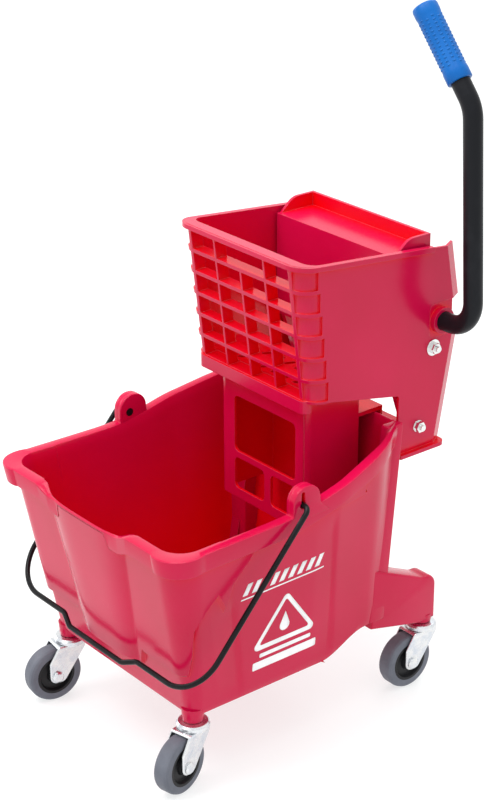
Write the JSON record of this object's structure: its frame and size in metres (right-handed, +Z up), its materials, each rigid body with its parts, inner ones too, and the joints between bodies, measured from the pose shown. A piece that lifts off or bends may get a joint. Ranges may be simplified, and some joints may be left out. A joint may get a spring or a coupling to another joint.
{
  "type": "mop bucket with wringer",
  "caption": "Wheeled mop bucket with a lift-off side-press wringer, hand lever, wire bail and pouring lip.",
  "frame": {"origin": "on the floor under the middle of the whole object's box", "axes": "+Z up, -Y towards the pouring lip, +Y towards the wringer, +X the side with the lever"},
  "size_m": [0.4, 0.5272, 0.9178],
  "materials": {
    "red_polypropylene": "moulded red polypropylene, glossy",
    "grey_rubber": "grey non-marking thermoplastic rubber",
    "black_plastic": "black nylon, satin",
    "zinc_steel": "pressed sheet steel, zinc plated",
    "bright_steel": "turned steel, bright plated",
    "black_powder_coat": "steel tube, black powder coat",
    "black_wire": "steel wire, black coated",
    "blue_vinyl": "dipped blue vinyl sleeve with small raised studs"
  },
  "bodies": {
    "bucket": {"tub": "red_polypropylene", "caster_stem_front_left": "zinc_steel", "race_cap_front_left": "zinc_steel", "race_balls_front_left": "bright_steel", "caster_stem_front_right": "zinc_steel", "race_cap_front_right": "zinc_steel", "race_balls_front_right": "bright_steel", "caster_stem_rear_left": "zinc_steel", "race_cap_rear_left": "zinc_steel", "race_balls_rear_left": "bright_steel", "caster_stem_rear_right": "zinc_steel", "race_cap_rear_right": "zinc_steel", "race_balls_rear_right": "bright_steel"},
    "swivel_front_left": {"caster_fork_front_left": "zinc_steel", "caster_axle_front_left": "zinc_steel"},
    "wheel_front_left": {"wheel_hub_front_left": "black_plastic", "wheel_tyre_front_left": "grey_rubber", "wheel_bush_front_left": "bright_steel"},
    "swivel_front_right": {"caster_fork_front_right": "zinc_steel", "caster_axle_front_right": "zinc_steel"},
    "wheel_front_right": {"wheel_hub_front_right": "black_plastic", "wheel_tyre_front_right": "grey_rubber", "wheel_bush_front_right": "bright_steel"},
    "swivel_rear_left": {"caster_fork_rear_left": "zinc_steel", "caster_axle_rear_left": "zinc_steel"},
    "wheel_rear_left": {"wheel_hub_rear_left": "black_plastic", "wheel_tyre_rear_left": "grey_rubber", "wheel_bush_rear_left": "bright_steel"},
    "swivel_rear_right": {"caster_fork_rear_right": "zinc_steel", "caster_axle_rear_right": "zinc_steel"},
    "wheel_rear_right": {"wheel_hub_rear_right": "black_plastic", "wheel_tyre_rear_right": "grey_rubber", "wheel_bush_rear_right": "bright_steel"},
    "bail": {"bail": "black_wire"},
    "wringer": {"wringer_body": "red_polypropylene", "shaft_bearing_left": "red_polypropylene", "shaft_bearing_right": "red_polypropylene", "bearing_bolts": "bright_steel", "bearing_washers": "bright_steel", "bearing_nuts": "bright_steel", "hinge_bolts": "bright_steel", "hinge_washers": "bright_steel", "hinge_nuts": "bright_steel"},
    "press_plate": {"press_plate": "red_polypropylene"},
    "lever": {"lever_tube": "black_powder_coat", "lever_grip": "blue_vinyl", "shaft_end_cap": "black_plastic", "press_cam_left": "black_plastic", "press_cam_right": "black_plastic", "cam_pins": "bright_steel"}
  },
  "joints": [
    {"name": "swivel_front_left", "type": "hinge", "parent": "bucket", "child": "swivel_front_left", "pos_m": [-0.135, -0.194, 0.088], "axis": [0, 0, 1], "continuous": true},
    {"name": "roll_front_left", "type": "hinge", "parent": "swivel_front_left", "child": "wheel_front_left", "pos_m": [-0.1388, -0.22174, 0.0381], "axis": [0.9907, -0.1357, 0], "continuous": true},
    {"name": "swivel_front_right", "type": "hinge", "parent": "bucket", "child": "swivel_front_right", "pos_m": [0.135, -0.194, 0.088], "axis": [0, 0, 1], "continuous": true},
    {"name": "roll_front_right", "type": "hinge", "parent": "swivel_front_right", "child": "wheel_front_right", "pos_m": [0.1412, -0.2213, 0.0381], "axis": [0.9751, 0.2215, 0], "continuous": true},
    {"name": "swivel_rear_left", "type": "hinge", "parent": "bucket", "child": "swivel_rear_left", "pos_m": [-0.135, 0.194, 0.088], "axis": [0, 0, 1], "continuous": true},
    {"name": "roll_rear_left", "type": "hinge", "parent": "swivel_rear_left", "child": "wheel_rear_left", "pos_m": [-0.13256, 0.16611, 0.0381], "axis": [0.9962, 0.0872, 0], "continuous": true},
    {"name": "swivel_rear_right", "type": "hinge", "parent": "bucket", "child": "swivel_rear_right", "pos_m": [0.135, 0.194, 0.088], "axis": [0, 0, 1], "continuous": true},
    {"name": "roll_rear_right", "type": "hinge", "parent": "swivel_rear_right", "child": "wheel_rear_right", "pos_m": [0.13466, 0.166, 0.0381], "axis": [0.9999, -0.0122, 0], "continuous": true},
    {"name": "bail_swing", "type": "hinge", "parent": "bucket", "child": "bail", "pos_m": [0, -0.06, 0.362], "axis": [-1, 0, 0], "range_deg": [0, 138.5]},
    {"name": "wringer_lift", "type": "slide", "parent": "bucket", "child": "wringer", "axis": [0, 0, 1], "range_m": [0, 0.22]},
    {"name": "lever_swing", "type": "hinge", "parent": "wringer", "child": "lever", "pos_m": [0, 0.223, 0.513], "axis": [1, 0, 0], "range_deg": [0, 100]},
    {"name": "press_plate_tilt", "type": "hinge", "parent": "wringer", "child": "press_plate", "pos_m": [0, 0.189, 0.373], "axis": [1, 0, 0], "range_deg": [0, 24.5]}
  ],
  "couplings": [
    {"joint": "press_plate_tilt", "follows": "lever_swing", "ratio": 0.24}
  ]
}
